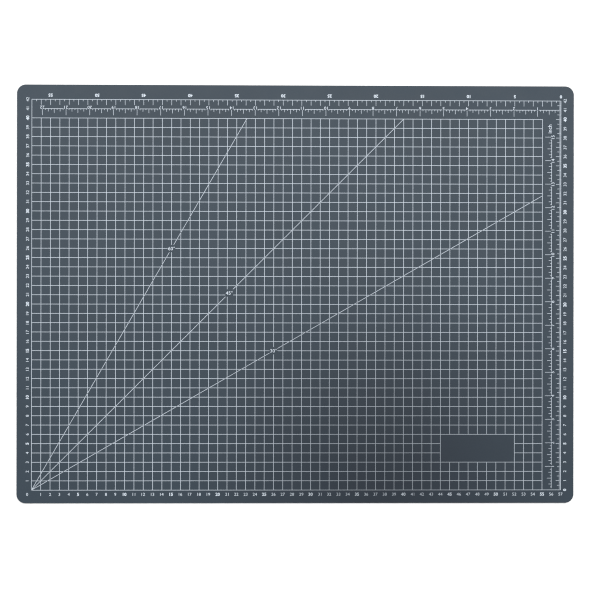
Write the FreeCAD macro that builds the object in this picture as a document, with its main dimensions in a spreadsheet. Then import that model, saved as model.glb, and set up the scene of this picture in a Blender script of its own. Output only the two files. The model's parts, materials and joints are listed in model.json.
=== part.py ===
import FreeCAD, Part
import Sketcher
import math
import os

from FreeCAD import Matrix, Placement, Rotation, Vector

# A2 self-healing cutting mat, in millimetres, lying flat.
# The origin is the centre of the underside. +X runs along the long edge, +Y away from the
# reader, and +Z up.
#
# Five plies are bonded face to face and cut to one outline. The print on the top skin is one
# thin film of ink, kept as one solid or group of solids for each layer of its artwork. The print
# has a corner of its own, the zero of its rulers, and its layers are drawn from there.

SIZES = (
    # the sheet
    ("mat_width", 600.0, "long edge of the mat"),
    ("mat_depth", 450.0, "short edge of the mat"),
    ("corner_radius", 9.5, "radius of the four corners"),
    ("rim_radius", 0.25, "rounding of the two skins along the cut rim"),
    ("top_skin", 0.8, "thickness of the top skin"),
    ("upper_tie", 0.4, "thickness of the upper tie ply"),
    ("core", 0.6, "thickness of the core ply"),
    ("lower_tie", 0.4, "thickness of the lower tie ply"),
    ("bottom_skin", 0.8, "thickness of the bottom skin"),
    # the print as a whole
    ("ink_film", 0.02, "thickness of the ink"),
    ("cell", 10.0, "pitch of the lattice, one centimetre"),
    ("inch", 25.4, "pitch of the inch rulers"),
    ("border", 14.0, "least bare border round the print"),
    ("ruler_band", 20.0, "band between the lattice and the frame, for the rulers"),
    ("shift_right", 1.0, "how far the print sits right of the middle"),
    ("shift_rear", -0.9, "how far the print sits behind the middle"),
    ("band_rows", 5, "rows of the lattice in one band of film"),
    # lines
    ("line_width", 0.4, "width of a lattice, frame or angle line"),
    ("tick_width", 0.35, "width of a ruler tick"),
    ("fine_tick_width", 0.25, "width of a millimetre tick"),
    ("inch_line_inset", 10.0, "distance of an inch ruler's line inside the frame"),
    ("inch_line_start", 2.0, "where the right inch ruler's line starts"),
    # blank panel at the lower right of the lattice, counted in cells
    ("panel_cells_wide", 8, "width of the blank panel"),
    ("panel_cells_deep", 3, "depth of the blank panel"),
    ("panel_cells_inset", 3, "cells between the panel and the lattice's edges"),
    # lengths of the ticks
    ("rear_long_tick", 5.9, "centimetre tick of the rear ruler"),
    ("rear_half_tick", 2.0, "half-centimetre tick of the rear ruler"),
    ("side_long_tick", 5.2, "centimetre tick of the right ruler"),
    ("side_half_tick", 3.8, "half-centimetre tick of the right ruler"),
    ("side_fine_tick", 1.8, "millimetre tick of the right ruler"),
    ("inch_tick", 6.9, "one-inch tick"),
    ("half_inch_tick", 4.6, "half-inch tick"),
    ("quarter_inch_tick", 3.0, "quarter-inch tick"),
    ("eighth_inch_tick", 1.4, "eighth-inch tick"),
    # numerals
    ("numeral_height", 2.8, "height of the centimetre numerals, between stroke centres"),
    ("numeral_stroke", 0.35, "stroke of a plain numeral"),
    ("bold_stroke", 0.6, "stroke of every fifth numeral"),
    ("numeral_gap", 4.5, "distance of a numeral's middle outside the frame"),
    ("inch_numeral_height", 3.0, "height of the inch numerals"),
    ("inch_numeral_gap", 1.4, "distance of an inch numeral's middle outside its line"),
    ("inch_stroke", 0.3, "stroke of the inch numerals"),
    ("numeral_clearance", 0.4, "least gap between an inch numeral and its ruler"),
    ("word_height", 3.6, "height of the unit word's tall letters"),
    ("word_start", 4.3, "distance of the unit word past the last inch"),
    # labels on the angle lines
    ("label_distance", 300.0, "distance of a label from the print's corner"),
    ("label_height", 3.25, "height of a label's numerals"),
    ("label_box_width", 8.5, "width of the gap in the lines round a label"),
    ("label_box_depth", 8.0, "depth of the gap in the lines round a label"),
)

ANGLES = (30, 45, 60)

PLIES = (
    # name, its thickness, the plies under it, the rim that is rounded
    ("bottom_skin_ply", "bottom_skin", (), "low"),
    ("lower_tie_ply", "lower_tie", ("bottom_skin",), None),
    ("core_ply", "core", ("bottom_skin", "lower_tie"), None),
    ("upper_tie_ply", "upper_tie", ("bottom_skin", "lower_tie", "core"), None),
    ("top_skin_ply", "top_skin", ("bottom_skin", "lower_tie", "core", "upper_tie"), "high"),
)

SHEET = "Sizes"
ALL_PLIES = tuple(thickness for _, thickness, _, _ in PLIES)
TOUCH = 1e-4


def write_sheet(doc):
    sheet = doc.addObject("Spreadsheet::Sheet", SHEET)
    for row, (alias, value, note) in enumerate(SIZES, start=1):
        sheet.set(f"A{row}", alias)
        sheet.set(f"B{row}", str(value))
        sheet.setAlias(f"B{row}", alias)
        sheet.set(f"C{row}", note)
    doc.recompute()
    return sheet


doc = FreeCAD.newDocument("cutting_mat")
sizes = write_sheet(doc)


def stack(aliases):
    """The expression for the height of a stack of plies."""
    return " + ".join(f"{SHEET}.{alias}" for alias in aliases) or "0"


# ---------------------------------------------------------------- the plies


def origin_plane(body, role):
    return next(item for item in body.Origin.OriginFeatures if item.Role == role)


def outline_sketch(body, name):
    """A rectangle with round corners, centred on the body's origin."""
    sketch = body.newObject("Sketcher::SketchObject", name)
    sketch.AttachmentSupport = (origin_plane(body, "XY_Plane"), [""])
    sketch.MapMode = "FlatFace"
    radius = sizes.corner_radius
    east = sizes.mat_width / 2
    north = sizes.mat_depth / 2
    corners = ((east, -north), (east, north), (-east, north), (-east, -north))
    turns = (-90, 0, 90, 180)
    edges = []
    arcs = []
    for (x, y), turn in zip(corners, turns):
        centre = Vector(x - math.copysign(radius, x), y - math.copysign(radius, y))
        circle = Part.Circle(centre, Vector(0, 0, 1), radius)
        start = math.radians(turn)
        arcs.append(Part.ArcOfCircle(circle, start, start + math.pi / 2))
    for index in range(4):
        before = arcs[index - 1]
        after = arcs[index]
        edges.append(Part.LineSegment(before.EndPoint, after.StartPoint))
    lines = [sketch.addGeometry(edge, False) for edge in edges]
    rounds = [sketch.addGeometry(arc, False) for arc in arcs]
    for index in range(4):
        following = lines[(index + 1) % 4]
        level = "Horizontal" if index % 2 == 0 else "Vertical"
        sketch.addConstraint(Sketcher.Constraint("Tangent", lines[index], 2, rounds[index], 1))
        sketch.addConstraint(Sketcher.Constraint("Tangent", rounds[index], 2, following, 1))
        sketch.addConstraint(Sketcher.Constraint(level, lines[index]))
    for other in rounds[1:]:
        sketch.addConstraint(Sketcher.Constraint("Equal", rounds[0], other))
    sketch.addConstraint(Sketcher.Constraint("Symmetric", rounds[0], 3, rounds[2], 3, -1, 1))
    bound = (
        (Sketcher.Constraint("Radius", rounds[0], radius), "corner_radius"),
        (Sketcher.Constraint("DistanceX", lines[3], 1, lines[1], 1, 2 * east), "mat_width"),
        (Sketcher.Constraint("DistanceY", lines[0], 1, lines[2], 1, 2 * north), "mat_depth"),
    )
    for constraint, alias in bound:
        index = sketch.addConstraint(constraint)
        sketch.setExpression(f"Constraints[{index}]", f"{SHEET}.{alias}")
    return sketch


def rim_edges(shape, side):
    """Names of the edges that run round the sheet's lower or upper face."""
    level = shape.BoundBox.ZMin if side == "low" else shape.BoundBox.ZMax
    names = []
    for number, edge in enumerate(shape.Edges, start=1):
        box = edge.BoundBox
        if abs(box.ZMin - level) < TOUCH and abs(box.ZMax - level) < TOUCH:
            names.append(f"Edge{number}")
    return names


def ply(name, thickness, below, rounded):
    body = doc.addObject("PartDesign::Body", name)
    body.Label = name
    pad = body.newObject("PartDesign::Pad", f"{name}_pad")
    pad.Profile = outline_sketch(body, f"{name}_outline")
    pad.setExpression("Length", f"{SHEET}.{thickness}")
    doc.recompute()
    if rounded:
        fillet = body.newObject("PartDesign::Fillet", f"{name}_rim")
        fillet.Base = (pad, rim_edges(pad.Shape, rounded))
        fillet.setExpression("Radius", f"min({SHEET}.rim_radius; 0.4 * {SHEET}.{thickness})")
    body.setExpression("Placement.Base.z", stack(below))
    return body


# ---------------------------------------------------------------- the print's measures

pitch = sizes.cell
ruler_columns = math.floor((sizes.mat_width - 2 * sizes.border) / pitch)
ruler_rows = math.floor((sizes.mat_depth - 2 * sizes.border) / pitch)
frame_right = ruler_columns * pitch
frame_rear = ruler_rows * pitch
columns = ruler_columns - math.ceil(sizes.ruler_band / pitch)
rows = ruler_rows - math.ceil(sizes.ruler_band / pitch)
lattice_right = columns * pitch
lattice_rear = rows * pitch
half_line = sizes.line_width / 2
word_room = sizes.word_start + 2.5 * sizes.word_height
rear_inches = math.floor((frame_right - sizes.numeral_gap) / sizes.inch)
side_inches = math.floor((lattice_rear - word_room) / sizes.inch)


def polygon(corners):
    """A flat face between its corners."""
    return Part.Face(Part.makePolygon(corners + corners[:1]))


def rectangle(left, front, right, rear):
    """A flat face between two corners."""
    corners = ((left, front), (right, front), (right, rear), (left, rear))
    return polygon([Vector(x, y) for x, y in corners])


def film(name, faces):
    """A layer of the print: faces drawn from the print's corner, as thick as the ink."""
    solids = [face.extrude(Vector(0, 0, sizes.ink_film)) for face in faces]
    layer = doc.addObject("Part::Feature", name)
    layer.Label = name
    layer.Shape = solids[0] if len(solids) == 1 else Part.makeCompound(solids)
    layer.setExpression("Placement.Base.x", f"{SHEET}.shift_right - {frame_right} / 2")
    layer.setExpression("Placement.Base.y", f"{SHEET}.shift_rear - {frame_rear} / 2")
    layer.setExpression("Placement.Base.z", stack(ALL_PLIES))
    return layer


# ---------------------------------------------------------------- lattice and angle lines


def label_centre(angle):
    turn = math.radians(angle)
    return sizes.label_distance * Vector(math.cos(turn), math.sin(turn))


def label_box(angle):
    """The place that every line leaves bare for a label."""
    centre = label_centre(angle)
    across = sizes.label_box_width / 2
    along = sizes.label_box_depth / 2
    return rectangle(centre.x - across, centre.y - along, centre.x + across, centre.y + along)


def angle_line(angle):
    """A line from the print's corner to the lattice's far edge, broken at its label."""
    turn = math.radians(angle)
    reach = min(lattice_right / math.cos(turn), lattice_rear / math.sin(turn))
    bar = rectangle(0, -half_line, reach, half_line)
    bar.rotate(Vector(), Vector(0, 0, 1), angle)
    return bar.cut(label_box(angle))


def bare_cells():
    """The bare places between the lattice lines, by column and row."""
    cells = {}
    panel_right = columns - sizes.panel_cells_inset
    panel_columns = range(int(panel_right - sizes.panel_cells_wide), int(panel_right))
    panel_rows = range(
        int(sizes.panel_cells_inset), int(sizes.panel_cells_inset + sizes.panel_cells_deep)
    )
    for column in range(columns):
        for row in range(rows):
            if column in panel_columns and row in panel_rows:
                continue
            left = column * pitch + half_line
            front = row * pitch + half_line
            right = (column + 1) * pitch - half_line
            rear = (row + 1) * pitch - half_line
            cells[column, row] = rectangle(left, front, right, rear)
    panel = rectangle(
        panel_columns[0] * pitch + half_line,
        panel_rows[0] * pitch + half_line,
        panel_columns[-1] * pitch + pitch - half_line,
        panel_rows[-1] * pitch + pitch - half_line,
    )
    cells["panel"] = panel
    return cells


def open_labels(cells):
    """Join the cells that a label's box reaches into one bare place."""
    for angle in ANGLES:
        box = label_box(angle)
        reached = [key for key, cell in cells.items() if cell.BoundBox.intersect(box.BoundBox)]
        joined = box.fuse([cells.pop(key) for key in reached]).removeSplitter()
        cells["label", angle] = joined.Faces[0]


def split_cells(cells, angle):
    """Split each cell that an angle line crosses."""
    line = angle_line(angle)
    across = Vector(-math.sin(math.radians(angle)), math.cos(math.radians(angle)))
    for key, cell in list(cells.items()):
        heights = [corner.Point.dot(across) for corner in cell.Vertexes]
        if min(heights) < half_line and max(heights) > -half_line:
            pieces = cell.cut(line).Faces
            del cells[key]
            for number, piece in enumerate(pieces):
                cells[key, angle, number] = piece


def divides_bare_place(edge):
    """Whether a division of the lattice at this row would cut a label's gap or the panel."""
    panel_front = sizes.panel_cells_inset
    if panel_front < edge < panel_front + sizes.panel_cells_deep:
        return True
    centres = (label_centre(angle).y for angle in ANGLES)
    return any(abs(centre - edge * pitch) < sizes.label_box_depth for centre in centres)


def band_edges():
    """Rows at which the lattice is divided into bands."""
    edges = [0]
    while edges[-1] < rows:
        edge = edges[-1] + int(sizes.band_rows)
        while divides_bare_place(edge):
            edge += 1
        edges.append(min(edge, rows))
    return edges


def hole_in(cell):
    """The outline of a bare place, turned the way that a hole runs."""
    wire = cell.OuterWire
    if cell.normalAt(0, 0).z > 0:
        wire.reverse()
    return wire


def lattice_print():
    """Lattice and angle lines, in bands that meet along the middle of a line."""
    cells = bare_cells()
    open_labels(cells)
    for angle in ANGLES:
        split_cells(cells, angle)
    edges = band_edges()
    bands = []
    for first, last in zip(edges, edges[1:]):
        front = first * pitch - (half_line if first == 0 else 0)
        rear = last * pitch + (half_line if last == rows else 0)
        border = rectangle(-half_line, front, lattice_right + half_line, rear).OuterWire
        inside = [cell for cell in cells.values() if front < cell.CenterOfMass.y < rear]
        bands.append(Part.Face([border] + [hole_in(cell) for cell in inside]))
    return film("lattice_print", bands)


# ---------------------------------------------------------------- ruler ticks


def teeth(ticks):
    """Corners of a row of ticks along X that point along -Y from a line at zero."""
    corners = []
    for place, width, reach in ticks:
        left = place - width / 2
        right = place + width / 2
        corners += [(left, -half_line), (left, -reach), (right, -reach), (right, -half_line)]
    return corners


def centimetre_print():
    """The frame round the ruler band, with its ticks, as one film."""
    rear_ticks = []
    for step in range(1, 2 * ruler_columns):
        reach = sizes.rear_half_tick if step % 2 else sizes.rear_long_tick
        rear_ticks.append((step * pitch / 2, sizes.tick_width, reach))
    side_ticks = []
    for step in range(1, 10 * ruler_rows):
        kind = (sizes.fine_tick_width, sizes.side_fine_tick)
        if step % 5 == 0:
            kind = (sizes.tick_width, sizes.side_half_tick)
        if step % 10 == 0:
            kind = (sizes.tick_width, sizes.side_long_tick)
        side_ticks.append((step * pitch / 10, *kind))
    rear_teeth = [Vector(x, frame_rear + y) for x, y in teeth(rear_ticks)]
    side_teeth = [Vector(frame_right + y, x) for x, y in teeth(side_ticks)]
    outline = [
        Vector(half_line, lattice_rear + half_line),
        Vector(half_line, frame_rear - half_line),
        *rear_teeth,
        Vector(frame_right - half_line, frame_rear - half_line),
        *reversed(side_teeth),
        Vector(frame_right - half_line, half_line),
        Vector(lattice_right + half_line, half_line),
        Vector(lattice_right + half_line, -half_line),
        Vector(frame_right + half_line, -half_line),
        Vector(frame_right + half_line, frame_rear + half_line),
        Vector(-half_line, frame_rear + half_line),
        Vector(-half_line, lattice_rear + half_line),
    ]
    return film("centimetre_print", [polygon(outline)])


def inch_reach(step):
    """Length of the tick at a number of eighths of an inch."""
    if step % 4 == 0:
        return sizes.half_inch_tick
    if step % 2 == 0:
        return sizes.quarter_inch_tick
    return sizes.eighth_inch_tick


def inch_ruler(count, start):
    """Faces of an inch ruler along X: a line broken round each numeral, and its ticks."""
    faces = []
    left = start
    for number in range(1, count + 1):
        place = number * sizes.inch
        gap = numeral_width(str(number), sizes.inch_numeral_height) / 2 + sizes.numeral_clearance
        right = place - gap
        ticks = []
        for step in range(8 * number - 7, 8 * number):
            middle = step * sizes.inch / 8
            if left + sizes.tick_width < middle < right - sizes.tick_width:
                ticks.append((middle, sizes.tick_width, inch_reach(step)))
        line = [(left, half_line), (left, -half_line), *teeth(ticks)]
        line += [(right, -half_line), (right, half_line)]
        faces.append(polygon([Vector(x, y) for x, y in line]))
        half = sizes.tick_width / 2
        top = sizes.inch_numeral_gap - sizes.inch_numeral_height / 2 - sizes.numeral_clearance
        faces.append(rectangle(place - half, -sizes.inch_tick, place + half, top))
        left = place + gap
    return faces


# ---------------------------------------------------------------- numerals
# Each sign is drawn as strokes in a box one unit high. A stroke is a start point and its runs:
# two numbers for a straight run to a point, four for an arc through one point to another.

SIGNS = {
    "0": (0.6, [[(0, 0.3), (0, 0.7), (0.3, 1, 0.6, 0.7), (0.6, 0.3), (0.3, 0, 0, 0.3)]]),
    "1": (0.4, [[(0.05, 0.78), (0.3, 1), (0.3, 0)]]),
    "2": (
        0.6,
        [[(0.02, 0.72), (0.3, 1, 0.58, 0.72), (0.55, 0.58, 0.47, 0.46), (0, 0), (0.6, 0)]],
    ),
    "3": (
        0.56,
        [[(0.07, 0.84), (0.47, 0.93, 0.3, 0.52)], [(0.3, 0.52), (0.48, 0.08, 0.05, 0.17)]],
    ),
    "4": (0.62, [[(0.45, 0), (0.45, 1)], [(0.45, 1), (0, 0.28), (0.62, 0.28)]]),
    "5": (0.58, [[(0.54, 1), (0.12, 1), (0.06, 0.53), (0.59, 0.31, 0.03, 0.13)]]),
    "6": (
        0.6,
        [
            [(0, 0.3), (0.3, 0.6, 0.6, 0.3), (0.3, 0, 0, 0.3)],
            [(0, 0.3), (0.13, 0.75, 0.46, 1)],
        ],
    ),
    "7": (0.58, [[(0, 1), (0.58, 1), (0.2, 0)]]),
    "8": (
        0.56,
        [
            [(0.06, 0.76), (0.28, 1, 0.5, 0.76), (0.28, 0.52, 0.06, 0.76)],
            [(0, 0.27), (0.28, 0.54, 0.56, 0.27), (0.28, 0, 0, 0.27)],
        ],
    ),
    "9": (
        0.6,
        [
            [(0, 0.7), (0.3, 1, 0.6, 0.7), (0.3, 0.4, 0, 0.7)],
            [(0.6, 0.7), (0.47, 0.25, 0.14, 0)],
        ],
    ),
    "o": (0.22, [[(0, 0.86), (0.11, 0.97, 0.22, 0.86), (0.11, 0.75, 0, 0.86)]]),
    "i": (0.1, [[(0.05, 0), (0.05, 0.7)], [(0.05, 0.95), (0.05, 1)]]),
    "n": (0.42, [[(0, 0), (0, 0.7)], [(0, 0.49), (0.21, 0.7, 0.42, 0.49), (0.42, 0)]]),
    "c": (0.42, [[(0.4, 0.6), (0, 0.35, 0.4, 0.1)]]),
    "h": (0.42, [[(0, 0), (0, 1)], [(0, 0.49), (0.21, 0.7, 0.42, 0.49), (0.42, 0)]]),
}
SPACING = 0.3


def numeral_width(text, height):
    widths = [SIGNS[sign][0] for sign in text]
    return height * (sum(widths) + SPACING * (len(widths) - 1))


def slot_face(start, end, stroke):
    """A straight band of ink with round ends."""
    reach = (end - start).normalize() * stroke / 2
    side = Vector(-reach.y, reach.x)
    edges = [
        Part.LineSegment(start - side, end - side).toShape(),
        Part.Arc(end - side, end + reach, end + side).toShape(),
        Part.LineSegment(end + side, start + side).toShape(),
        Part.Arc(start + side, start - reach, start - side).toShape(),
    ]
    return Part.Face(Part.Wire(edges))


def stroke_face(runs, height, stroke):
    """The flat band of ink that one stroke lays down, with round ends."""
    points = [Vector(*run[-2:]) * height for run in runs]
    edges = []
    for number, run in enumerate(runs[1:]):
        start = points[number]
        end = points[number + 1]
        if len(run) == 4:
            edges.append(Part.Arc(start, Vector(*run[:2]) * height, end).toShape())
        else:
            edges.append(Part.LineSegment(start, end).toShape())
    if len(edges) == 1 and len(runs[1]) == 2:
        return slot_face(points[0], points[1], stroke)
    path = Part.Wire(edges)
    if not path.isClosed():
        return path.makeOffset2D(stroke / 2, 0, True, False)
    rims = [path.makeOffset2D(stroke / 2), path.makeOffset2D(-stroke / 2)]
    return Part.makeFace(rims, "Part::FaceMakerBullseye")


def sign_face(sign, height, stroke):
    strokes = [stroke_face(runs, height, stroke) for runs in SIGNS[sign][1]]
    if len(strokes) == 1:
        return strokes[0].Faces
    return strokes[0].fuse(strokes[1:]).removeSplitter().Faces


drawn_signs = {}


def text_faces(text, centre, turn, height, stroke):
    """Faces of a text whose middle is at centre, turned by a number of degrees."""
    place = Placement(centre, Rotation(Vector(0, 0, 1), turn))
    x = -numeral_width(text, height) / 2
    faces = []
    for sign in text:
        key = (sign, height, stroke)
        if key not in drawn_signs:
            drawn_signs[key] = sign_face(*key)
        for face in drawn_signs[key]:
            copy = face.copy()
            copy.translate(Vector(x, -height / 2))
            copy.transformShape(place.toMatrix())
            faces.append(copy)
        x += height * (SIGNS[sign][0] + SPACING)
    return faces


def centimetre_numerals():
    """Numerals outside all four sides of the frame. Every fifth one is bold."""
    height = sizes.numeral_height
    gap = sizes.numeral_gap
    faces = text_faces("0", Vector(-gap, -gap), 0, height, sizes.numeral_stroke)
    for number in range(1, ruler_columns + 1):
        stroke = sizes.numeral_stroke if number % 5 else sizes.bold_stroke
        faces += text_faces(str(number), Vector(number * pitch, -gap), 0, height, stroke)
    for number in range(0, ruler_rows + 1):
        stroke = sizes.numeral_stroke if number % 5 else sizes.bold_stroke
        y = number * pitch
        if number:
            faces += text_faces(str(number), Vector(-gap, y), 90, height, stroke)
        faces += text_faces(str(number), Vector(frame_right + gap, y), 90, height, stroke)
    for number in range(0, ruler_columns - 1, 5):
        centre = Vector(frame_right - number * pitch, frame_rear + gap)
        faces += text_faces(str(number), centre, 180, height, sizes.bold_stroke)
    return film("centimetre_numerals", faces)


def inch_layers():
    """The two inch rulers and their numerals. Both start at the frame's corner."""
    line_rear = frame_rear - sizes.inch_line_inset
    line_right = frame_right - sizes.inch_line_inset
    rear = inch_ruler(rear_inches, sizes.side_long_tick)
    rear_place = Matrix(-1, 0, 0, frame_right, 0, 1, 0, line_rear)
    side = inch_ruler(side_inches, sizes.inch_line_start)
    side_place = Matrix(0, 1, 0, line_right, 1, 0, 0, 0)
    rulers = [face.transformed(rear_place) for face in rear]
    rulers += [face.transformed(side_place) for face in side]
    height = sizes.inch_numeral_height
    stroke = sizes.inch_stroke
    numerals = []
    for number in range(1, rear_inches + 1):
        x = frame_right - number * sizes.inch
        centre = Vector(x, line_rear + sizes.inch_numeral_gap)
        numerals += text_faces(str(number), centre, 180, height, stroke)
    for number in range(1, side_inches + 1):
        centre = Vector(line_right + sizes.inch_numeral_gap, number * sizes.inch)
        numerals += text_faces(str(number), centre, 90, height, stroke)
    word = "inch"
    y = side_inches * sizes.inch + sizes.word_start + numeral_width(word, sizes.word_height) / 2
    x = line_right - sizes.word_height / 2
    numerals += text_faces(word, Vector(x, y), 90, sizes.word_height, sizes.numeral_stroke)
    return film("inch_print", rulers), film("inch_numerals", numerals)


def angle_labels():
    faces = []
    for angle in ANGLES:
        height = sizes.label_height
        text = f"{angle}o"
        faces += text_faces(text, label_centre(angle), 0, height, sizes.numeral_stroke)
    return film("angle_labels", faces)


# ---------------------------------------------------------------- build, test and write


def failed(item):
    return [state for state in item.State if state in ("Invalid", "Error")]


def main():
    nodes = [ply(*entry) for entry in PLIES]
    nodes.append(lattice_print())
    nodes.append(centimetre_print())
    nodes.extend(inch_layers())
    nodes.append(centimetre_numerals())
    nodes.append(angle_labels())
    doc.recompute()
    for item in doc.Objects:
        if failed(item):
            raise RuntimeError(f"{item.Name} failed: {item.State}")
    for node in nodes:
        if node.Shape.isNull() or not node.Shape.isValid() or not node.Shape.Solids:
            raise RuntimeError(f"{node.Label} has no valid solid")
    os.makedirs("parts", exist_ok=True)
    for node in nodes:
        node.Shape.exportStep(f"parts/{node.Label}.step")
        solids = len(node.Shape.Solids)
        print(f"{node.Label}: {solids} solids, {node.Shape.Volume:.2f} mm3")


main()
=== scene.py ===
import json
import math

import bmesh
import bpy
from bpy.props import FloatProperty, FloatVectorProperty, PointerProperty
from mathutils import Euler, Matrix, Vector

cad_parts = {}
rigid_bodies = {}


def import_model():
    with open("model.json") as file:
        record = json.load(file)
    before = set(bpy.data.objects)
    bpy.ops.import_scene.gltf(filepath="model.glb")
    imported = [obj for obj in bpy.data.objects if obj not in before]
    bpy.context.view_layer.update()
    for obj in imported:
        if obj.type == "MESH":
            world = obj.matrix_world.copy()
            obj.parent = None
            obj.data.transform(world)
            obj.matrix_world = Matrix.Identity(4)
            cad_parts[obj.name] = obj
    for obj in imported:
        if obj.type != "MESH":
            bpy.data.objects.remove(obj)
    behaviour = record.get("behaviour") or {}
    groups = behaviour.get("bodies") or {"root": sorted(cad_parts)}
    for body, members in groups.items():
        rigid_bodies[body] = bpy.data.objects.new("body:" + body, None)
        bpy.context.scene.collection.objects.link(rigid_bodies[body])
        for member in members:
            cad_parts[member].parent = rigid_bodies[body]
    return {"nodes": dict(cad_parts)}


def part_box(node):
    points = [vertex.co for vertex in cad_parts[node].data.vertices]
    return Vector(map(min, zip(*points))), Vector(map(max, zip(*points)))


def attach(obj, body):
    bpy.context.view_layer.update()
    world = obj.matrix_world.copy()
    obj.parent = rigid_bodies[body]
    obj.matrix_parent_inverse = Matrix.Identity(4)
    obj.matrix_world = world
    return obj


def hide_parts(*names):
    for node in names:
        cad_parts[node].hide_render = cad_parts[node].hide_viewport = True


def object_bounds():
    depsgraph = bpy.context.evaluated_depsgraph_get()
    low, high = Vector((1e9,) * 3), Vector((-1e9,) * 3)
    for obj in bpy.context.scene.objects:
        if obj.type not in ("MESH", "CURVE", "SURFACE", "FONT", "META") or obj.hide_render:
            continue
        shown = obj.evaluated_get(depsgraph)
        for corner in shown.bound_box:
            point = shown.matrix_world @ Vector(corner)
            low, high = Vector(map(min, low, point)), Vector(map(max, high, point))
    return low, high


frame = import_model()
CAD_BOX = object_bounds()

bl_info = {
    "name": "Cutting Mat",
    "version": (1, 0, 0),
    "blender": (4, 5, 0),
    "location": "3D View > Sidebar > Cutting Mat",
    "description": "Finishes a laminated cutting mat: its plies, its printed grid and its rulers",
    "category": "Object",
}

# ---------------------------------------------------------------- measures, from the frame if it has them

CENTIMETRE = 0.01
INCH = 0.0254
BODY = "root"
LATTICE_LOW, LATTICE_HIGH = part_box("lattice_print")
FRAME_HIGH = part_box("centimetre_print")[1]
FRAME_LINE = 0.0004
CORNER = Vector((LATTICE_LOW.x, LATTICE_LOW.y, 0)) + Vector((FRAME_LINE, FRAME_LINE, 0)) / 2
SURFACE = LATTICE_LOW.z
INK = LATTICE_HIGH.z - LATTICE_LOW.z
COLUMNS = round((LATTICE_HIGH.x - CORNER.x) / CENTIMETRE)
ROWS = round((LATTICE_HIGH.y - CORNER.y) / CENTIMETRE)
RULER_COLUMNS = round((FRAME_HIGH.x - CORNER.x) / CENTIMETRE)
RULER_ROWS = round((FRAME_HIGH.y - CORNER.y) / CENTIMETRE)
REAR_RIGHT = Vector((RULER_COLUMNS, RULER_ROWS, 0)) * CENTIMETRE
FRONT_RIGHT = Vector((RULER_COLUMNS, 0, 0)) * CENTIMETRE
INCH_INSET = CENTIMETRE

# The corners of the blank panel, in cells.
PANEL_LOW = Vector((COLUMNS - 11, 3, 0))
PANEL_HIGH = Vector((COLUMNS - 3, 6, 0))

# ---------------------------------------------------------------- measures chosen for this mat

REAR_INCHES = 22
SIDE_INCHES = 15
ANGLES = (30, 45, 60)
QUARTER_TURN = math.radians(90)
HALF_TURN = math.radians(180)
CUTTER_HEIGHT = 0.01

# A text of size 1 has digits this high, and each text is widened a little.
DIGIT_HEIGHT = 0.69
STRETCH = 1.06
WORD_SPREAD = 0.004

# The middle of the shadow painted on the face, and how much of its strength the ink takes.
SHADOW_MIDDLE = Vector((0.095, -0.19, 0))
INK_SHADOW_SHARE = 0.9

# The floor lies a hair above the underside, which then shows in a view from below.
FLOOR_RISE = 0.00005
FLOOR_REACH = 6.0
LENS = 79.138
CAMERA_PLACE = (-0.0204, -0.0014)
CAMERA_TURN = (0.0004, -0.01384, 0.0014)


# ---------------------------------------------------------------- what a user can change


def length(name, description, default):
    return FloatProperty(
        name=name,
        description=description,
        default=default,
        min=0.0,
        precision=5,
        unit="LENGTH",
        subtype="DISTANCE",
    )


def colour(name, description, default):
    return FloatVectorProperty(
        name=name, description=description, default=default, size=3, min=0, max=1, subtype="COLOR"
    )


class PlySettings(bpy.types.PropertyGroup):
    """Colours and surface of the five plies."""

    skin: colour("Skin", "Colour of the top skin", (0.025, 0.039, 0.054))
    underside: colour("Underside", "Colour of the bottom skin", (0.025, 0.039, 0.052))
    tie: colour("Tie plies", "Colour of the two plies next to the core", (0.016, 0.019, 0.022))
    core: colour("Core", "Colour of the stiff core", (0.50, 0.51, 0.50))
    grain: length("Grain", "Size of the skin's grain", 0.0007)
    roughness: FloatProperty(
        name="Roughness", description="Roughness of the skin", default=0.5, min=0, max=1
    )
    # A painted shadow darkens the front right of the face and its ink: how strong it is, what colour it
    # tends to and how far it reaches.
    patch: FloatProperty(
        name="Darker patch",
        description="How much the front right of the face is darker than the rest",
        default=0.6,
        min=0,
        max=1,
    )
    shadow: colour("Patch colour", "What the darker patch tends to", (0.0, 0.002, 0.008))
    patch_reach: length("Patch reach", "How far the darker patch spreads", 0.26)


class LineSettings(bpy.types.PropertyGroup):
    """Widths and lengths of the printed lines."""

    line: length("Line", "Width of a lattice, frame or angle line", FRAME_LINE)
    tick: length("Tick", "Width of a ruler tick", 0.00035)
    fine_tick: length("Fine tick", "Width of a millimetre tick", 0.00025)
    rear_long: length("Rear centimetre", "Centimetre tick of the rear ruler", 0.0059)
    rear_half: length("Rear half", "Half-centimetre tick of the rear ruler", 0.0020)
    side_long: length("Side centimetre", "Centimetre tick of the right ruler", 0.0052)
    side_half: length("Side half", "Half-centimetre tick of the right ruler", 0.0038)
    side_fine: length("Side millimetre", "Millimetre tick of the right ruler", 0.0018)
    inch: length("Inch", "One-inch tick", 0.0069)
    half_inch: length("Half inch", "Half-inch tick", 0.0046)
    quarter_inch: length("Quarter inch", "Quarter-inch tick", 0.0030)
    eighth_inch: length("Eighth inch", "Eighth-inch tick", 0.0014)
    side_inch_start: length("Inch start", "Where the right inch ruler starts", 0.0020)


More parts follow.
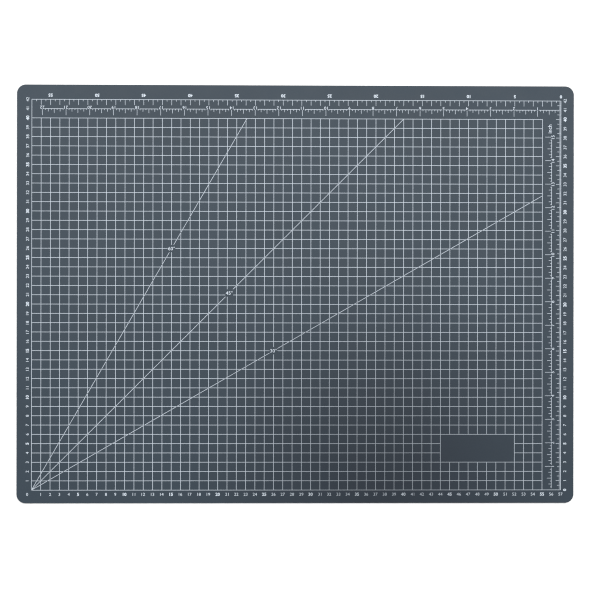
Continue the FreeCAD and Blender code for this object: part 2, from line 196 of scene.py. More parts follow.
class TextSettings(bpy.types.PropertyGroup):
    """Sizes of the printed numerals."""

    height: length("Height", "Height of the centimetre numerals", 0.0031)
    gap: length("Gap", "Distance of a numeral's middle outside the frame", 0.0045)
    bold: length("Bold", "How much an outline of a bold numeral is spread", 0.00014)
    inch_height: length("Inch height", "Height of the inch numerals", 0.0033)
    inch_gap: length("Inch gap", "Distance of an inch numeral outside its line", 0.0014)
    clearance: length("Clearance", "Gap between an inch numeral and its ruler", 0.0004)
    label_height: length("Label height", "Height of the angle labels", 0.0036)
    label_distance: length("Label distance", "Distance of a label from zero", 0.300)
    label_width: length("Label gap width", "Width of the gap round a label", 0.0085)
    label_depth: length("Label gap depth", "Depth of the gap round a label", 0.0080)
    word_height: length("Word height", "Height of the unit word", 0.0039)
    word_start: length("Word start", "Distance of the unit word past the last inch", 0.0042)


class InkSettings(bpy.types.PropertyGroup):
    """Colour of the print."""

    ink: colour("Ink", "Colour of the printed ink", (0.59, 0.655, 0.73))


class StageSettings(bpy.types.PropertyGroup):
    """Floor, lights and camera."""

    floor: colour("Floor", "Colour of the floor", (0.95, 0.95, 0.95))
    camera_height: length("Camera height", "Height of the camera above the floor", 1.4)
    key: FloatProperty(name="Key light", description="Power of the key light", default=48, min=0)
    fill: FloatProperty(name="Fill light", description="Power of the fill", default=3, min=0)
    sky: FloatProperty(name="Sky", description="Strength of the even light", default=0.62, min=0)


# ---------------------------------------------------------------- nodes


class Value:
    """A socket in an expression. Each operation on it adds one Math node."""

    def __init__(self, graph, socket):
        self.graph = graph
        self.socket = socket

    def of(self, name):
        """Another output of the same node."""
        return Value(self.graph, self.socket.node.outputs[name])

    def math(self, operation, *values):
        return self.graph.add("ShaderNodeMath", {"operation": operation}, dict(enumerate(values)))

    def __add__(self, other):
        return self.math("ADD", self, other)

    def __sub__(self, other):
        return self.math("SUBTRACT", self, other)

    def __rsub__(self, other):
        return self.math("SUBTRACT", other, self)

    def __mul__(self, other):
        return self.math("MULTIPLY", self, other)

    def __truediv__(self, other):
        return self.math("DIVIDE", self, other)

    def __mod__(self, other):
        return self.math("FLOORED_MODULO", self, other)

    def __lt__(self, other):
        return self.math("LESS_THAN", self, other)

    def __gt__(self, other):
        return self.math("GREATER_THAN", self, other)

    def floor(self):
        return self.math("FLOOR", self)

    def least(self, other):
        return self.math("MINIMUM", self, other)

    def length(self):
        return self.graph.add("ShaderNodeVectorMath", {"operation": "LENGTH"}, {0: self}, "Value")

    __radd__ = __add__
    __rmul__ = __mul__


class Graph:
    """A node tree that is written as expressions."""

    def __init__(self, tree):
        self.tree = tree
        tree.nodes.clear()

    def feed(self, socket, value):
        if isinstance(value, Value):
            self.tree.links.new(value.socket, socket)
        else:
            socket.default_value = value

    def add(self, kind, settings=None, inputs=None, output=0):
        """Add a node: its settings first, then its sockets. The answer is one of its outputs."""
        node = self.tree.nodes.new(kind)
        for name, value in (settings or {}).items():
            setattr(node, name, value)
        for name, value in (inputs or {}).items():
            self.feed(node.inputs[name], value)
        return Value(self, node.outputs[output]) if len(node.outputs) else None

    def vector(self, x=0.0, y=0.0, z=0.0):
        return self.add("ShaderNodeCombineXYZ", None, {"X": x, "Y": y, "Z": z})

    def parts(self, vector):
        split = self.add("ShaderNodeSeparateXYZ", None, {"Vector": vector})
        return split.of("X"), split.of("Y"), split.of("Z")


# ---------------------------------------------------------------- materials


class Shader(Graph):
    """The node tree of one material, read on the object's own coordinates."""

    def __init__(self, name):
        material = bpy.data.materials.get(name) or bpy.data.materials.new(name)
        material.use_nodes = True
        super().__init__(material.node_tree)
        self.material = material
        self.place = self.add("ShaderNodeTexCoord").of("Object")

    def noise(self, scale, detail=2.0, roughness=0.5, place=None):
        """Noise from 0 to 1, whose features are about scale metres across."""
        inputs = {
            "Vector": place or self.place,
            "Scale": 1 / scale,
            "Detail": detail,
            "Roughness": roughness,
        }
        return self.add("ShaderNodeTexNoise", {"noise_dimensions": "3D"}, inputs)

    def cells(self, scale):
        """Distance to the nearest of many points, scale metres apart."""
        inputs = {"Vector": self.place, "Scale": 1 / scale}
        return self.add("ShaderNodeTexVoronoi", {"feature": "F1"}, inputs)

    def ramp(self, value, low, high, start=0.0, end=1.0):
        """A value between two limits, spread smoothly from start to end."""
        inputs = {"Value": value, 1: low, 2: high, 3: start, 4: end}
        settings = {"interpolation_type": "SMOOTHSTEP", "clamp": True}
        return self.add("ShaderNodeMapRange", settings, inputs)

    def mix(self, factor, first, second):
        return self.add("ShaderNodeMix", {"data_type": "RGBA"}, {0: factor, 6: first, 7: second}, 2)

    def bump(self, height, distance, strength=1.0):
        inputs = {"Height": height, "Distance": distance, "Strength": strength}
        return self.add("ShaderNodeBump", None, inputs)

    def finish(self, **sockets):
        inputs = {name.replace("_", " "): value for name, value in sockets.items()}
        surface = self.add("ShaderNodeBsdfPrincipled", None, inputs)
        self.add("ShaderNodeOutputMaterial", None, {"Surface": surface})
        return self.material


def shade(tint, factor):
    """A colour made lighter or darker, with its alpha."""
    return tuple(min(1.0, channel * factor) for channel in tint) + (1.0,)


def darker_patch(s, look, tone, share=1.0):
    """The tone of the face, with a share of the painted shadow that darkens its front right."""
    x, y, _ = s.parts(s.place)
    reach = s.vector(x - SHADOW_MIDDLE.x, y - SHADOW_MIDDLE.y).length() / look.patch_reach
    return s.mix(s.ramp(reach, 1.0, 0.0) * (look.patch * share), tone, shade(look.shadow, 1.0))


def skin_material(name, tint, look, roughness, painted_shadow_on=False):
    """Soft PVC with a fine pebbled grain, faint mottling and a few dull scuffs."""
    s = Shader(name)
    grain = look.grain
    mottle = s.noise(0.12, 3.0)
    patches = s.noise(0.018, 4.0, 0.6)
    tone = s.mix(s.ramp(mottle, 0.3, 0.7), shade(tint, 0.94), shade(tint, 1.06))
    tone = s.mix(s.ramp(patches, 0.35, 0.75) * 0.5, tone, shade(tint, 1.10))
    pebbles = s.cells(grain)
    pits = s.noise(grain / 2, 2.0)
    scuffs = s.ramp(s.noise(0.006, 5.0, 0.7), 0.62, 0.78)
    tone = s.mix(scuffs * 0.12, tone, shade(tint, 1.5))
    relief = pebbles * 0.7 + pits * 0.5
    # The top skin gets the painted shadow at its front right.
    if painted_shadow_on:
        tone = darker_patch(s, look, tone)
    return s.finish(
        Base_Color=tone,
        Roughness=roughness + (patches - 0.5) * 0.14 + scuffs * 0.08,
        Specular_IOR_Level=0.25,
        Normal=s.bump(relief, grain * 0.07),
    )


def cut_ply_material(name, tint, roughness):
    """The cut rim of an inner sheet, with fine drag lines of the knife."""
    s = Shader(name)
    x, y, z = s.parts(s.place)
    drag = s.noise(0.0012, 2.0, 0.6, s.vector(x, y, z * 8.0))
    streaks = s.noise(0.02, 3.0)
    tone = s.mix(s.ramp(drag, 0.3, 0.7), shade(tint, 0.88), shade(tint, 1.12))
    tone = s.mix(s.ramp(streaks, 0.5, 0.8) * 0.4, tone, shade(tint, 0.8))
    return s.finish(
        Base_Color=tone,
        Roughness=roughness + (drag - 0.5) * 0.2,
        Normal=s.bump(drag, 0.00004),
    )


def ink_material(name, ink, look):
    """Matt screen-print ink, thin enough in places for the skin to show."""
    s = Shader(name)
    thin = s.ramp(s.noise(0.0016, 3.0, 0.6), 0.56, 0.82)
    fade = s.ramp(s.noise(0.09, 2.0), 0.3, 0.75)
    tone = s.mix(fade * 0.6, shade(ink, 1.0), shade(ink, 0.90))
    tone = s.mix(thin * 0.25, tone, shade(look.skin, 3.0))
    # The ink takes most of the painted shadow at the front right.
    tone = darker_patch(s, look, tone, INK_SHADOW_SHARE)
    weave = s.noise(0.0002, 1.0)
    return s.finish(
        Base_Color=tone,
        Roughness=0.62 + (weave - 0.5) * 0.1,
        Normal=s.bump(weave, 0.000006),
    )


def floor_material(name, tint):
    """A pale floor that is clear from below."""
    s = Shader(name)
    tone = s.mix(s.noise(0.4, 2.0), shade(tint, 0.99), shade(tint, 1.0))
    from_below = s.add("ShaderNodeNewGeometry").of("Backfacing")
    return s.finish(Base_Color=tone, Roughness=0.8, Alpha=1 - from_below)


def print_material(context):
    return ink_material("screen_ink", context.scene.mat_ink.ink, context.scene.mat_plies)


# ---------------------------------------------------------------- geometry trees


SOCKETS = {
    float: "NodeSocketFloat",
    int: "NodeSocketInt",
    Vector: "NodeSocketVector",
    bpy.types.Material: "NodeSocketMaterial",
}


class Maker(Graph):
    """A geometry tree with named inputs. The tree's own geometry comes in and goes out."""

    def __init__(self, name, inputs):
        tree = bpy.data.node_groups.new(name, "GeometryNodeTree")
        super().__init__(tree)
        face = tree.interface
        face.new_socket("Geometry", in_out="OUTPUT", socket_type="NodeSocketGeometry")
        face.new_socket("Geometry", in_out="INPUT", socket_type="NodeSocketGeometry")
        for label, value in inputs.items():
            kind = SOCKETS[type(value)]
            socket = face.new_socket(label, in_out="INPUT", socket_type=kind)
            if kind != "NodeSocketMaterial":
                socket.default_value = value
        self.entry = self.add("NodeGroupInput")

    def __getitem__(self, label):
        return self.entry.of(label)

    def group(self, tree, inputs):
        return self.add("GeometryNodeGroup", {"node_tree": tree}, inputs)

    def join(self, *shapes):
        node = self.tree.nodes.new("GeometryNodeJoinGeometry")
        for shape in reversed(shapes):
            self.tree.links.new(shape.socket, node.inputs[0])
        return Value(self, node.outputs[0])

    def box(self):
        return self.add("GeometryNodeMeshCube", None, {"Size": (1, 1, 1)})

    def moved(self, shape, **inputs):
        inputs["Geometry"] = shape
        return self.add("GeometryNodeTransform", None, inputs)

    def bar(self, low, high):
        """A block between two corners."""
        low, high = Vector(low), Vector(high)
        return self.moved(self.box(), Translation=(low + high) / 2, Scale=high - low)

    def row(self, count):
        """Points in a row, which later take their places from their index."""
        settings = {"mode": "OFFSET", "count_mode": "TOTAL"}
        return self.add("GeometryNodeMeshLine", settings, {"Count": count})

    def index(self):
        return self.add("GeometryNodeInputIndex")

    def placed(self, points, position):
        return self.add("GeometryNodeSetPosition", None, {0: points, "Position": position})

    def copies(self, points, shape, **inputs):
        inputs = {name.replace("_", " "): value for name, value in inputs.items()}
        inputs["Points"] = points
        inputs["Instance"] = shape
        return self.add("GeometryNodeInstanceOnPoints", None, inputs)

    def done(self, shape, material=None):
        """End the tree. A tree that makes a piece ends in plain mesh with its material."""
        if material:
            real = self.add("GeometryNodeRealizeInstances", None, {"Geometry": shape})
            shape = self.add(
                "GeometryNodeSetMaterial", None, {"Geometry": real, "Material": material}
            )
        self.add("NodeGroupOutput", None, {"Geometry": shape})
        return self.tree


def tick_tree():
    """Ticks along +X from zero, which stand on a line and point along +Y.

    Every tick at a multiple of Long, Half or Quarter has that kind's length.
    """
    g = Maker(
        "ticks_of_a_ruler",
        {
            "Count": 10,
            "Pitch": 0.001,
            "Long": 10,
            "Half": 5,
            "Quarter": 5,
            "Long reach": 0.005,
            "Half reach": 0.004,
            "Quarter reach": 0.003,
            "Short reach": 0.002,
            "Long start": 0.0002,
            "Start": 0.0002,
            "Width": 0.00035,
            "Fine width": 0.00025,
            "Ink": INK,
            "Place": Vector(),
            "Turn": 0.0,
        },
    )
    step = g.index() + 1
    is_long = step % g["Long"] < 0.5
    is_half = step % g["Half"] < 0.5
    is_quarter = step % g["Quarter"] < 0.5
    reach = g["Short reach"] + is_quarter * (g["Quarter reach"] - g["Short reach"])
    reach = reach + is_half * (g["Half reach"] - reach)
    reach = reach + is_long * (g["Long reach"] - reach)
    start = g["Start"] + is_long * (g["Long start"] - g["Start"])
    width = g["Fine width"] + is_quarter * (g["Width"] - g["Fine width"])
    points = g.row(g["Count"])
    middle = g.vector(step * g["Pitch"], (start + reach) / 2, g["Ink"] / 2)
    size = g.vector(width, reach - start, g["Ink"])
    ticks = g.copies(g.placed(points, middle), g.box(), Scale=size)
    turned = g.moved(ticks, Translation=g["Place"], Rotation=g.vector(0, 0, g["Turn"]))
    return g.done(turned)


def broken_line_tree():
    """A ruler line along +X from Start, broken round the numeral at every Pitch.

    A numeral of one digit has the narrow gap on each side, and one of two digits the wide gap.
    """
    g = Maker(
        "broken_ruler_line",
        {
            "Numerals": 5,
            "Pitch": INCH,
            "Start": 0.0,
            "Narrow gap": 0.001,
            "Wide gap": 0.002,
            "Width": FRAME_LINE,
            "Ink": INK,
            "Place": Vector(),
            "Turn": 0.0,
        },
    )
    number = g.index()

    def gap_at(numeral):
        return g["Narrow gap"] + (numeral > 9.5) * (g["Wide gap"] - g["Narrow gap"])

    is_first = number < 0.5
    low = number * g["Pitch"] + gap_at(number)
    low = low + is_first * (g["Start"] - low)
    high = (number + 1) * g["Pitch"] - gap_at(number + 1)
    points = g.row(g["Numerals"])
    middle = g.vector((low + high) / 2, 0, g["Ink"] / 2)
    size = g.vector(high - low, g["Width"], g["Ink"])
    runs = g.copies(g.placed(points, middle), g.box(), Scale=size)
    turned = g.moved(runs, Translation=g["Place"], Rotation=g.vector(0, 0, g["Turn"]))
    return g.done(turned)


def numeral_tree(stock):
    """Numerals along +X, each picked from the stock by the number it shows."""
    g = Maker(
        "numerals_of_a_ruler",
        {
            "Count": 10,
            "First": 0,
            "Step": 1,
            "Pitch": CENTIMETRE,
            "Across": 0.0,
            "Place": Vector(),
            "Turn": 0.0,
        },
    )
    settings = {"transform_space": "ORIGINAL"}
    inputs = {"Collection": stock, "Separate Children": True, "Reset Children": True}
    signs = g.add("GeometryNodeCollectionInfo", settings, inputs)
    number = g["First"] + g.index() * g["Step"]
    middle = g.vector(number * g["Pitch"], g["Across"], 0)
    points = g.placed(g.row(g["Count"]), middle)
    rows = g.copies(points, signs, Pick_Instance=True, Instance_Index=number)
    turned = g.moved(rows, Translation=g["Place"], Rotation=g.vector(0, 0, g["Turn"]))
    return g.done(turned)


def lattice_tree(material):
    """One closed film: the lattice, its blank panel, the angle lines and the label gaps."""
    g = Maker(
        "lattice_of_ink",
        {
            "Columns": COLUMNS,
            "Rows": ROWS,
            "Pitch": CENTIMETRE,
            "Width": FRAME_LINE,
            "Ink": INK,
            "Panel low": PANEL_LOW,
            "Panel high": PANEL_HIGH,
            "Label distance": 0.3,
            "Label gap": Vector((0.0085, 0.008, 0)),
            "Material": material,
        },
    )
    # The grid has two columns or two rows of points for each line, so its faces are lines and the
    # gaps between them, in turn. Its points are a unit apart, counted from the front left.
    across = 2 * g["Columns"] + 2
    along = 2 * g["Rows"] + 2
    sizes = {"Size X": across - 1, "Size Y": along - 1, "Vertices X": across, "Vertices Y": along}
    sheet = g.add("GeometryNodeMeshGrid", None, sizes)
    x, y, _ = g.parts(g.add("GeometryNodeInputPosition"))
    x = x + (across - 1) / 2
    y = y + (along - 1) / 2
    column, row = x.floor(), y.floor()
    # The squares between the lines go, and so does the panel.
    bare = (column % 2 > 0.5) * (row % 2 > 0.5)
    left, front, _ = g.parts(g["Panel low"])
    right, rear, _ = g.parts(g["Panel high"])
    panel = (x > left * 2 + 1) * (x < right * 2) * (y > front * 2 + 1) * (y < rear * 2)
    open_sheet = g.add(
        "GeometryNodeDeleteGeometry",
        {"domain": "FACE"},
        {"Geometry": sheet, "Selection": bare + panel},
    )
    # The points take their places, which gives each line its width.
    column, row = (x + 0.5).floor(), (y + 0.5).floor()
    across_line = (column % 2 - 0.5) * g["Width"]
    along_line = (row % 2 - 0.5) * g["Width"]
    place = g.vector(
        (column / 2).floor() * g["Pitch"] + across_line,
        (row / 2).floor() * g["Pitch"] + along_line,
        0,
    )
    flat = g.placed(open_sheet, place)
    # The flat sheet is raised and closed from below.
    raised = g.add(
        "GeometryNodeExtrudeMesh",
        {"mode": "FACES"},
        {"Mesh": flat, "Offset": g.vector(0, 0, 1), "Offset Scale": g["Ink"], "Individual": False},
    )
    under = g.add("GeometryNodeFlipFaces", None, {"Mesh": flat})
    closed = g.add(
        "GeometryNodeMergeByDistance", None, {"Geometry": g.join(raised, under), "Distance": 1e-6}
    )
    # Each angle line joins the film, and then the label gaps are cut out of both.
    lattice_right = g["Columns"] * g["Pitch"]
    lattice_rear = g["Rows"] * g["Pitch"]
    film = closed
    gaps = []
    gap_width, gap_depth, _ = g.parts(g["Label gap"])
    for angle in ANGLES:
        turn = math.radians(angle)
        reach = (lattice_right / math.cos(turn)).least(lattice_rear / math.sin(turn))
        line = g.moved(
            g.box(),
            Translation=g.vector(reach * math.cos(turn) / 2, reach * math.sin(turn) / 2, g["Ink"] / 2),
            Rotation=g.vector(0, 0, turn),
            Scale=g.vector(reach, g["Width"], g["Ink"]),
        )
        film = g.add(
            "GeometryNodeMeshBoolean",
            {"operation": "UNION", "solver": "MANIFOLD"},
            {"Mesh 2": g.join(film, line)},
        )
        gaps.append(
            g.moved(
                g.box(),
                Translation=g.vector(
                    g["Label distance"] * math.cos(turn), g["Label distance"] * math.sin(turn), 0
                ),
                Scale=g.vector(gap_width, gap_depth, CUTTER_HEIGHT),
            )
        )
    cleared = g.add(
        "GeometryNodeMeshBoolean",
        {"operation": "DIFFERENCE", "solver": "MANIFOLD"},
        {"Mesh 1": film, "Mesh 2": g.join(*gaps)},
    )
    return g.done(cleared, g["Material"])


def evaluated(name, tree, inputs, base=None):
    """Run a tree on a base mesh and keep the result as a plain mesh."""
    holder = bpy.data.objects.new("holder", base or bpy.data.meshes.new("holder"))
    bpy.context.scene.collection.objects.link(holder)
    modifier = holder.modifiers.new("make", "NODES")
    modifier.node_group = tree
    for item in tree.interface.items_tree:
        if item.in_out == "INPUT" and item.name in inputs:
            modifier[item.identifier] = inputs[item.name]
    depsgraph = bpy.context.evaluated_depsgraph_get()
    mesh = bpy.data.meshes.new_from_object(holder.evaluated_get(depsgraph))
    mesh.name = name
    bpy.data.objects.remove(holder)
    return mesh


# ---------------------------------------------------------------- pieces


def raise_piece(name, mesh, node):
    """Put a mesh drawn from the print's corner on the skin, as the piece for a CAD node."""
    if not mesh.polygons:
        raise RuntimeError(f"{name} has no faces")
    mesh.transform(Matrix.Translation(CORNER + Vector((0, 0, SURFACE))))
    piece = bpy.data.objects.new(name, mesh)
    bpy.context.scene.collection.objects.link(piece)
    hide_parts(node)
    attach(piece, BODY)
    return piece


def text_mesh(text, height, spread=0.0):
    """A text as a closed film of ink, its middle at zero."""
    curve = bpy.data.curves.new("text", "FONT")
    curve.body = text
    curve.resolution_u = 3
    curve.offset = spread
    curve.extrude = 0.5
    curve.size = 1.0
    holder = bpy.data.objects.new("text", curve)
    bpy.context.scene.collection.objects.link(holder)
    depsgraph = bpy.context.evaluated_depsgraph_get()
    mesh = bpy.data.meshes.new_from_object(holder.evaluated_get(depsgraph))
    bpy.data.objects.remove(holder)
    bpy.data.curves.remove(curve)
    shape = bmesh.new()
    shape.from_mesh(mesh)
    bmesh.ops.remove_doubles(shape, verts=shape.verts, dist=1e-5)
    bmesh.ops.recalc_face_normals(shape, faces=shape.faces)
    xs = [vertex.co.x for vertex in shape.verts]
    size = height / DIGIT_HEIGHT
    middle = Vector(((min(xs) + max(xs)) / 2, DIGIT_HEIGHT / 2, -0.5))
    bmesh.ops.translate(shape, verts=shape.verts, vec=-middle)
    bmesh.ops.scale(shape, verts=shape.verts, vec=(size * STRETCH, size, INK))
    shape.to_mesh(mesh)
    shape.free()
    return mesh


def text_width(text, height):
    mesh = text_mesh(text, height)
    xs = [vertex.co.x for vertex in mesh.vertices]
    bpy.data.meshes.remove(mesh)
    return max(xs) - min(xs)


def numeral_stock(name, last, height, spread_of):
    """A collection of the numerals from 0 to last, in order."""
    stock = bpy.data.collections.new(name)
    for number in range(last + 1):
        mesh = text_mesh(str(number), height, spread_of(number))
        stock.objects.link(bpy.data.objects.new(f"{name}_{number:02d}", mesh))
    return stock


def clear_stock(stock):
    """Remove a collection of numerals once its rows are made."""
    for sign in list(stock.objects):
        bpy.data.objects.remove(sign)
    bpy.data.collections.remove(stock)


def numeral_row(g, tree, count, pitch, across, place, turn, first=0, step=1):
    """Count numerals along a ruler that starts at place, from first on, each a step apart."""
    inputs = {
        "Count": count,
        "First": first,
        "Step": step,
        "Pitch": pitch,
        "Across": across,
        "Place": place,
        "Turn": turn,
    }
    return g.group(tree, inputs)


# ---------------------------------------------------------------- operators


class MAT_OT_plies(bpy.types.Operator):
    """Give the five plies their sheet materials"""

    bl_idname = "mat.plies"
    bl_label = "Plies"

    def execute(self, context):
        look = context.scene.mat_plies
        finishes = {
            # The top skin carries the painted shadow.
            "top_skin_ply": skin_material("top_skin", look.skin, look, look.roughness, painted_shadow_on=True),
            "upper_tie_ply": cut_ply_material("tie_sheet", look.tie, 0.6),
            "core_ply": cut_ply_material("core_sheet", look.core, 0.5),
            "lower_tie_ply": cut_ply_material("tie_sheet", look.tie, 0.6),
            "bottom_skin_ply": skin_material(
                "bottom_skin", look.underside, look, look.roughness + 0.08
            ),
        }
        for node, material in finishes.items():
            mesh = frame["nodes"][node].data
            mesh.materials.clear()
            mesh.materials.append(material)
        return {"FINISHED"}


class MAT_OT_lattice(bpy.types.Operator):
    """Print the lattice and the angle lines"""

    bl_idname = "mat.lattice"
    bl_label = "Lattice and angle lines"

    def execute(self, context):
        lines = context.scene.mat_lines
        text = context.scene.mat_text
        material = print_material(context)
        inputs = {
            "Width": lines.line,
            "Label distance": text.label_distance,
            "Label gap": (text.label_width, text.label_depth, 0),
            "Material": material,
        }
        mesh = evaluated("printed_lattice", lattice_tree(material), inputs)
        raise_piece("printed_lattice", mesh, "lattice_print")
        return {"FINISHED"}


class MAT_OT_centimetre_rulers(bpy.types.Operator):
    """Print the frame round the ruler band and its centimetre ticks"""

    bl_idname = "mat.centimetre_rulers"
    bl_label = "Centimetre rulers"

    def execute(self, context):
        lines = context.scene.mat_lines
        material = print_material(context)
        ticks = tick_tree()
        g = Maker("centimetre_rulers", {"Material": material})
        half = lines.line / 2
        right, rear = REAR_RIGHT.x, REAR_RIGHT.y
        lattice_right, lattice_rear = COLUMNS * CENTIMETRE, ROWS * CENTIMETRE
        rear_ruler = {
            "Count": 2 * RULER_COLUMNS - 1,
            "Pitch": CENTIMETRE / 2,
            "Long": 2,
            "Half": 1,
            "Quarter": 1,
            "Long reach": lines.rear_long,
            "Half reach": lines.rear_half,
            "Long start": half,
            "Start": half,
            "Width": lines.tick,
            "Place": REAR_RIGHT,
            "Turn": HALF_TURN,
        }
        side_ruler = {
            "Count": 10 * RULER_ROWS - 1,
            "Pitch": CENTIMETRE / 10,
            "Long": 10,
            "Half": 5,
            "Quarter": 5,
            "Long reach": lines.side_long,
            "Half reach": lines.side_half,
            "Short reach": lines.side_fine,
            "Long start": half,
            "Start": half,
            "Width": lines.tick,
            "Fine width": lines.fine_tick,
            "Place": FRONT_RIGHT,
            "Turn": QUARTER_TURN,
        }
        band = (
            ((-half, lattice_rear + half, 0), (half, rear - half, INK)),
            ((-half, rear - half, 0), (right + half, rear + half, INK)),
            ((right - half, half, 0), (right + half, rear - half, INK)),
            ((lattice_right + half, -half, 0), (right + half, half, INK)),
        )
        shape = g.join(
            g.group(ticks, rear_ruler),
            g.group(ticks, side_ruler),
            *(g.bar(low, high) for low, high in band),
        )
        tree = g.done(shape, g["Material"])
        mesh = evaluated("printed_centimetres", tree, {"Material": material})
        raise_piece("printed_centimetres", mesh, "centimetre_print")
        return {"FINISHED"}


class MAT_OT_inch_rulers(bpy.types.Operator):
    """Print the two inch rulers"""

    bl_idname = "mat.inch_rulers"
    bl_label = "Inch rulers"

    def execute(self, context):
        lines = context.scene.mat_lines
        text = context.scene.mat_text
        material = print_material(context)
        ticks = tick_tree()
        broken_line = broken_line_tree()
        g = Maker("inch_rulers", {"Material": material})
        one_digit = text_width("5", text.inch_height) / 2 + text.clearance
        two_digits = text_width("20", text.inch_height) / 2 + text.clearance
        rear = {
            "Numerals": REAR_INCHES,
            "Start": lines.side_long,
            "Place": REAR_RIGHT - Vector((0, INCH_INSET, 0)),
            "Turn": HALF_TURN,
        }
        side = {
            "Numerals": SIDE_INCHES,
            "Start": lines.side_inch_start,
            "Place": FRONT_RIGHT - Vector((INCH_INSET, 0, 0)),
            "Turn": QUARTER_TURN,
        }
        shapes = []
        for ruler in (rear, side):
            gaps = {"Narrow gap": one_digit, "Wide gap": two_digits, "Width": lines.line}
            shapes.append(g.group(broken_line, {**ruler, **gaps}))
            marks = {
                "Count": 8 * ruler["Numerals"],
                "Pitch": INCH / 8,
                "Long": 8,
                "Half": 4,
                "Quarter": 2,
                "Long reach": lines.inch,
                "Half reach": lines.half_inch,
                "Quarter reach": lines.quarter_inch,
                "Short reach": lines.eighth_inch,
                "Long start": text.inch_height / 2 + text.clearance - text.inch_gap,
                "Start": lines.line / 2,
                "Width": lines.tick,
                "Fine width": lines.tick,
                "Place": ruler["Place"],
                "Turn": ruler["Turn"],
            }
            shapes.append(g.group(ticks, marks))
        tree = g.done(g.join(*shapes), g["Material"])
        mesh = evaluated("printed_inches", tree, {"Material": material})
        raise_piece("printed_inches", mesh, "inch_print")
        return {"FINISHED"}


class MAT_OT_centimetre_numerals(bpy.types.Operator):
    """Print the centimetre numerals, every fifth one bold"""

    bl_idname = "mat.centimetre_numerals"
    bl_label = "Centimetre numerals"

    def execute(self, context):
        text = context.scene.mat_text
        material = print_material(context)
        spread = text.bold / text.height * DIGIT_HEIGHT
        stock = numeral_stock(
            "sign",
            max(RULER_COLUMNS, RULER_ROWS),
            text.height,
            lambda number: 0 if number % 5 else spread,
        )
        tree = numeral_tree(stock)
        g = Maker("centimetre_numerals", {"Material": material})
        rows = (
            numeral_row(g, tree, RULER_COLUMNS, CENTIMETRE, -text.gap, Vector(), 0, first=1),
            numeral_row(g, tree, RULER_ROWS, CENTIMETRE, text.gap, Vector(), QUARTER_TURN, first=1),
            numeral_row(g, tree, RULER_ROWS + 1, CENTIMETRE, -text.gap, FRONT_RIGHT, QUARTER_TURN),
            numeral_row(
                g,
                tree,
                math.ceil((RULER_COLUMNS - 1) / 5),
                CENTIMETRE,
                -text.gap,
                REAR_RIGHT,
                HALF_TURN,
                step=5,
            ),
        )
        shape = g.join(g["Geometry"], *rows)
        zero = text_mesh("0", text.height)
        zero.transform(Matrix.Translation((-text.gap, -text.gap, 0)))
        finished = g.done(shape, g["Material"])
        mesh = evaluated("printed_numerals", finished, {"Material": material}, zero)
        clear_stock(stock)
        raise_piece("printed_numerals", mesh, "centimetre_numerals")
        return {"FINISHED"}


class MAT_OT_inch_numerals(bpy.types.Operator):
    """Print the inch numerals and the unit word"""

    bl_idname = "mat.inch_numerals"
    bl_label = "Inch numerals"

    def execute(self, context):
        text = context.scene.mat_text
        material = print_material(context)
        stock = numeral_stock("inch_sign", REAR_INCHES, text.inch_height, lambda number: 0)
        tree = numeral_tree(stock)
        g = Maker("inch_numerals", {"Material": material})
        rear_line = REAR_RIGHT - Vector((0, INCH_INSET, 0))
        side_line = FRONT_RIGHT - Vector((INCH_INSET, 0, 0))
        rows = (
            numeral_row(g, tree, REAR_INCHES, INCH, -text.inch_gap, rear_line, HALF_TURN, 1),
            numeral_row(g, tree, SIDE_INCHES, INCH, -text.inch_gap, side_line, QUARTER_TURN, 1),
        )
        word = text_mesh("inch", text.word_height, WORD_SPREAD)
        xs = [vertex.co.x for vertex in word.vertices]
        y = SIDE_INCHES * INCH + text.word_start + (max(xs) - min(xs)) / 2
        x = side_line.x - text.word_height / 2
        word.transform(Matrix.Translation((x, y, 0)) @ Euler((0, 0, QUARTER_TURN)).to_matrix().to_4x4())
        finished = g.done(g.join(g["Geometry"], *rows), g["Material"])
        mesh = evaluated("printed_inch_numerals", finished, {"Material": material}, word)
        clear_stock(stock)
        raise_piece("printed_inch_numerals", mesh, "inch_numerals")
        return {"FINISHED"}


class MAT_OT_angle_labels(bpy.types.Operator):
    """Print the labels of the angle lines"""

    bl_idname = "mat.angle_labels"
    bl_label = "Angle labels"

    def execute(self, context):
        text = context.scene.mat_text
        shape = bmesh.new()
        for angle in ANGLES:
            turn = math.radians(angle)
            label = text_mesh(f"{angle}°", text.label_height)
            centre = Vector((math.cos(turn), math.sin(turn), 0)) * text.label_distance
            label.transform(Matrix.Translation(centre))
            shape.from_mesh(label)
            bpy.data.meshes.remove(label)
        mesh = bpy.data.meshes.new("printed_angle_labels")
        shape.to_mesh(mesh)
        shape.free()
        mesh.materials.append(print_material(context))
        raise_piece("printed_angle_labels", mesh, "angle_labels")
        return {"FINISHED"}


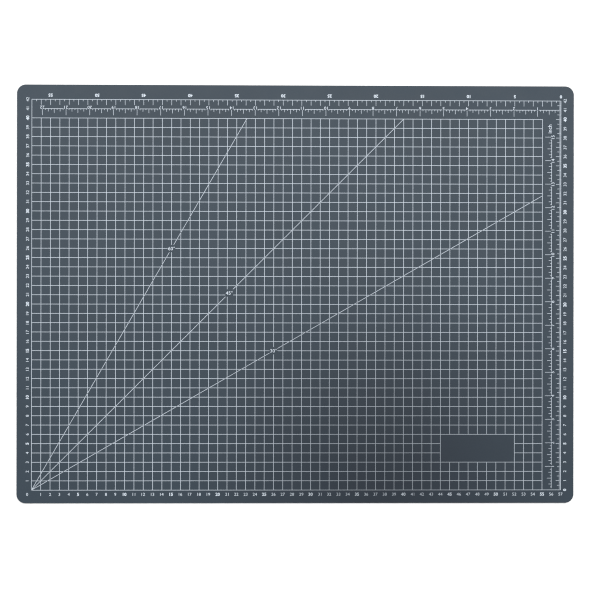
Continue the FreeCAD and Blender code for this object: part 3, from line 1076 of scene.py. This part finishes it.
class MAT_OT_stage(bpy.types.Operator):
    """Set the floor, the lights and the camera"""

    bl_idname = "mat.stage"
    bl_label = "Stage"

    def execute(self, context):
        look = context.scene.mat_stage
        scene = context.scene
        shape = bmesh.new()
        bmesh.ops.create_grid(shape, x_segments=1, y_segments=1, size=FLOOR_REACH)
        mesh = bpy.data.meshes.new("floor")
        shape.to_mesh(mesh)
        shape.free()
        mesh.materials.append(floor_material("pale_floor", look.floor))
        floor = bpy.data.objects.new("floor", mesh)
        floor.location.z = CAD_BOX[0].z + FLOOR_RISE
        scene.collection.objects.link(floor)
        world = bpy.data.worlds.new("studio")
        world.use_nodes = True
        sky = world.node_tree.nodes["Background"]
        sky.inputs["Color"].default_value = (1.0, 1.0, 1.0, 1.0)
        sky.inputs["Strength"].default_value = look.sky
        scene.world = world
        lights = (
            ("key", look.key, (3.2, 1.0), (0.0, 0.6, 2.0)),
            ("fill", look.fill, (2.0, 2.0), (1.4, -0.8, 1.8)),
        )
        for name, power, size, place in lights:
            lamp = bpy.data.lights.new(name, "AREA")
            lamp.shape = "RECTANGLE"
            lamp.energy = power
            lamp.size, lamp.size_y = size
            light = bpy.data.objects.new(name, lamp)
            light.location = place
            light.rotation_euler = (-Vector(place)).to_track_quat("-Z", "Y").to_euler()
            scene.collection.objects.link(light)
        camera = bpy.data.objects.new("camera", bpy.data.cameras.new("camera"))
        camera.data.lens = LENS
        camera.location = (*CAMERA_PLACE, look.camera_height)
        camera.rotation_euler = CAMERA_TURN
        scene.collection.objects.link(camera)
        scene.camera = camera
        scene.view_settings.view_transform = "Standard"
        scene.cycles.filter_width = 1.2
        return {"FINISHED"}


class MAT_PT_panel(bpy.types.Panel):
    """Sizes, colours and steps of the cutting mat"""

    bl_label = "Cutting Mat"
    bl_idname = "MAT_PT_panel"
    bl_space_type = "VIEW_3D"
    bl_region_type = "UI"
    bl_category = "Cutting Mat"

    def draw(self, context):
        layout = self.layout
        for group in SETTINGS:
            settings = getattr(context.scene, group)
            box = layout.box()
            box.label(text=settings.bl_rna.description)
            for name in settings.bl_rna.properties.keys():
                if name not in ("rna_type", "name"):
                    box.prop(settings, name)
        for operator in OPERATORS:
            layout.operator(operator.bl_idname)


SETTINGS = {
    "mat_plies": PlySettings,
    "mat_lines": LineSettings,
    "mat_text": TextSettings,
    "mat_ink": InkSettings,
    "mat_stage": StageSettings,
}
OPERATORS = (
    MAT_OT_plies,
    MAT_OT_lattice,
    MAT_OT_centimetre_rulers,
    MAT_OT_inch_rulers,
    MAT_OT_centimetre_numerals,
    MAT_OT_inch_numerals,
    MAT_OT_angle_labels,
    MAT_OT_stage,
)


def register():
    for item in (*SETTINGS.values(), *OPERATORS, MAT_PT_panel):
        bpy.utils.register_class(item)
    for name, settings in SETTINGS.items():
        setattr(bpy.types.Scene, name, PointerProperty(type=settings))


def unregister():
    for name in SETTINGS:
        delattr(bpy.types.Scene, name)
    for item in reversed((*SETTINGS.values(), *OPERATORS, MAT_PT_panel)):
        bpy.utils.unregister_class(item)


def main():
    register()
    for operator in OPERATORS:
        group, name = operator.bl_idname.split(".")
        getattr(getattr(bpy.ops, group), name)()


if __name__ == "__main__":
    main()
